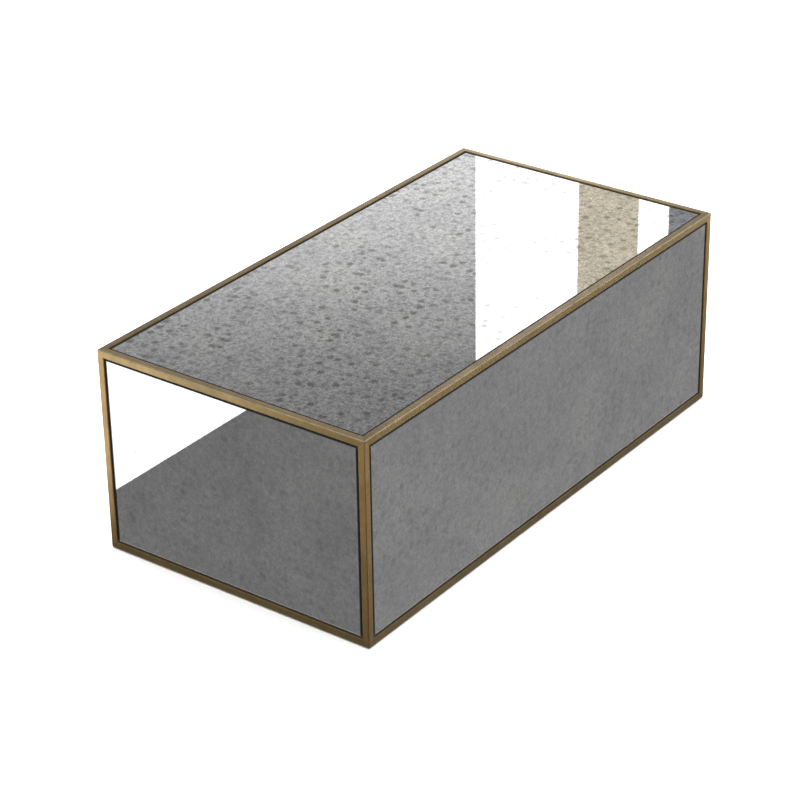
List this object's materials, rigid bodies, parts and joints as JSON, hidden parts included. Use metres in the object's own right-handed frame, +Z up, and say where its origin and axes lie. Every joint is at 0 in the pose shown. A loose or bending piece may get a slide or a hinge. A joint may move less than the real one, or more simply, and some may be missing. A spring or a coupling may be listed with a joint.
{
  "type": "mirrored block coffee table",
  "caption": "Low rectangular coffee table: antiqued mirror panes on every side and the top, set in a slim antique-brass square-tube frame, with hidden levelling feet.",
  "frame": {"origin": "on the floor, under the middle of the table", "axes": "+Z up, +X along the table's length, -Y the front long side"},
  "size_m": [1.2, 0.63, 0.435],
  "materials": {
    "antique_brass": "satin antique, brushed",
    "antiqued_mirror": "smoky antiqued silvering under clear glass",
    "black_seal": "matte",
    "raw_board": "raw fibreboard",
    "black_board": "black painted fibreboard",
    "foam_tape": "closed-cell foam tape",
    "zinc_steel": "bright zinc plated",
    "black_nylon": "moulded nylon",
    "grey_rubber": "matte"
  },
  "bodies": {
    "table": {"top_front_rail": "antique_brass", "top_rear_rail": "antique_brass", "top_left_rail": "antique_brass", "top_right_rail": "antique_brass", "front_left_post": "antique_brass", "front_right_post": "antique_brass", "rear_left_post": "antique_brass", "rear_right_post": "antique_brass", "bottom_front_rail": "antique_brass", "bottom_rear_rail": "antique_brass", "bottom_left_rail": "antique_brass", "bottom_right_rail": "antique_brass", "top_cross_bar_left": "antique_brass", "top_cross_bar_right": "antique_brass", "top_ledges": "antique_brass", "front_ledges": "antique_brass", "rear_ledges": "antique_brass", "left_ledges": "antique_brass", "right_ledges": "antique_brass", "base_ledges": "antique_brass", "front_left_corner_plate": "antique_brass", "front_right_corner_plate": "antique_brass", "rear_left_corner_plate": "antique_brass", "rear_right_corner_plate": "antique_brass", "foot_weld_nuts": "zinc_steel", "top_mirror": "antiqued_mirror", "front_mirror": "antiqued_mirror", "rear_mirror": "antiqued_mirror", "left_mirror": "antiqued_mirror", "right_mirror": "antiqued_mirror", "top_seal": "black_seal", "front_seal": "black_seal", "rear_seal": "black_seal", "left_seal": "black_seal", "right_seal": "black_seal", "top_board": "raw_board", "front_board": "raw_board", "rear_board": "raw_board", "left_board": "raw_board", "right_board": "raw_board", "mounting_tape": "foam_tape", "base_board": "black_board", "panel_screws": "zinc_steel", "base_screws": "zinc_steel"},
    "front_left_foot": {"front_left_foot_pad": "black_nylon", "front_left_foot_sole": "grey_rubber"},
    "front_left_stem": {"front_left_foot_stem": "zinc_steel"},
    "front_right_foot": {"front_right_foot_pad": "black_nylon", "front_right_foot_sole": "grey_rubber"},
    "front_right_stem": {"front_right_foot_stem": "zinc_steel"},
    "rear_left_foot": {"rear_left_foot_pad": "black_nylon", "rear_left_foot_sole": "grey_rubber"},
    "rear_left_stem": {"rear_left_foot_stem": "zinc_steel"},
    "rear_right_foot": {"rear_right_foot_pad": "black_nylon", "rear_right_foot_sole": "grey_rubber"},
    "rear_right_stem": {"rear_right_foot_stem": "zinc_steel"}
  },
  "joints": [
    {"name": "front_left_foot_travel", "type": "slide", "parent": "table", "child": "front_left_foot", "axis": [0, 0, -1], "range_m": [0, 0.012]},
    {"name": "front_left_stem_turn", "type": "hinge", "parent": "front_left_foot", "child": "front_left_stem", "pos_m": [-0.555, -0.27, 0.02], "axis": [0, 0, -1], "range_deg": [0, 3460]},
    {"name": "front_right_foot_travel", "type": "slide", "parent": "table", "child": "front_right_foot", "axis": [0, 0, -1], "range_m": [0, 0.012]},
    {"name": "front_right_stem_turn", "type": "hinge", "parent": "front_right_foot", "child": "front_right_stem", "pos_m": [0.555, -0.27, 0.02], "axis": [0, 0, -1], "range_deg": [0, 3460]},
    {"name": "rear_left_foot_travel", "type": "slide", "parent": "table", "child": "rear_left_foot", "axis": [0, 0, -1], "range_m": [0, 0.012]},
    {"name": "rear_left_stem_turn", "type": "hinge", "parent": "rear_left_foot", "child": "rear_left_stem", "pos_m": [-0.555, 0.27, 0.02], "axis": [0, 0, -1], "range_deg": [0, 3460]},
    {"name": "rear_right_foot_travel", "type": "slide", "parent": "table", "child": "rear_right_foot", "axis": [0, 0, -1], "range_m": [0, 0.012]},
    {"name": "rear_right_stem_turn", "type": "hinge", "parent": "rear_right_foot", "child": "rear_right_stem", "pos_m": [0.555, 0.27, 0.02], "axis": [0, 0, -1], "range_deg": [0, 3460]}
  ],
  "couplings": [
    {"joint": "front_left_stem_turn", "follows": "front_left_foot_travel", "rad_per_m": 5026.5},
    {"joint": "front_right_stem_turn", "follows": "front_right_foot_travel", "rad_per_m": 5026.5},
    {"joint": "rear_left_stem_turn", "follows": "rear_left_foot_travel", "rad_per_m": 5026.5},
    {"joint": "rear_right_stem_turn", "follows": "rear_right_foot_travel", "rad_per_m": 5026.5}
  ]
}
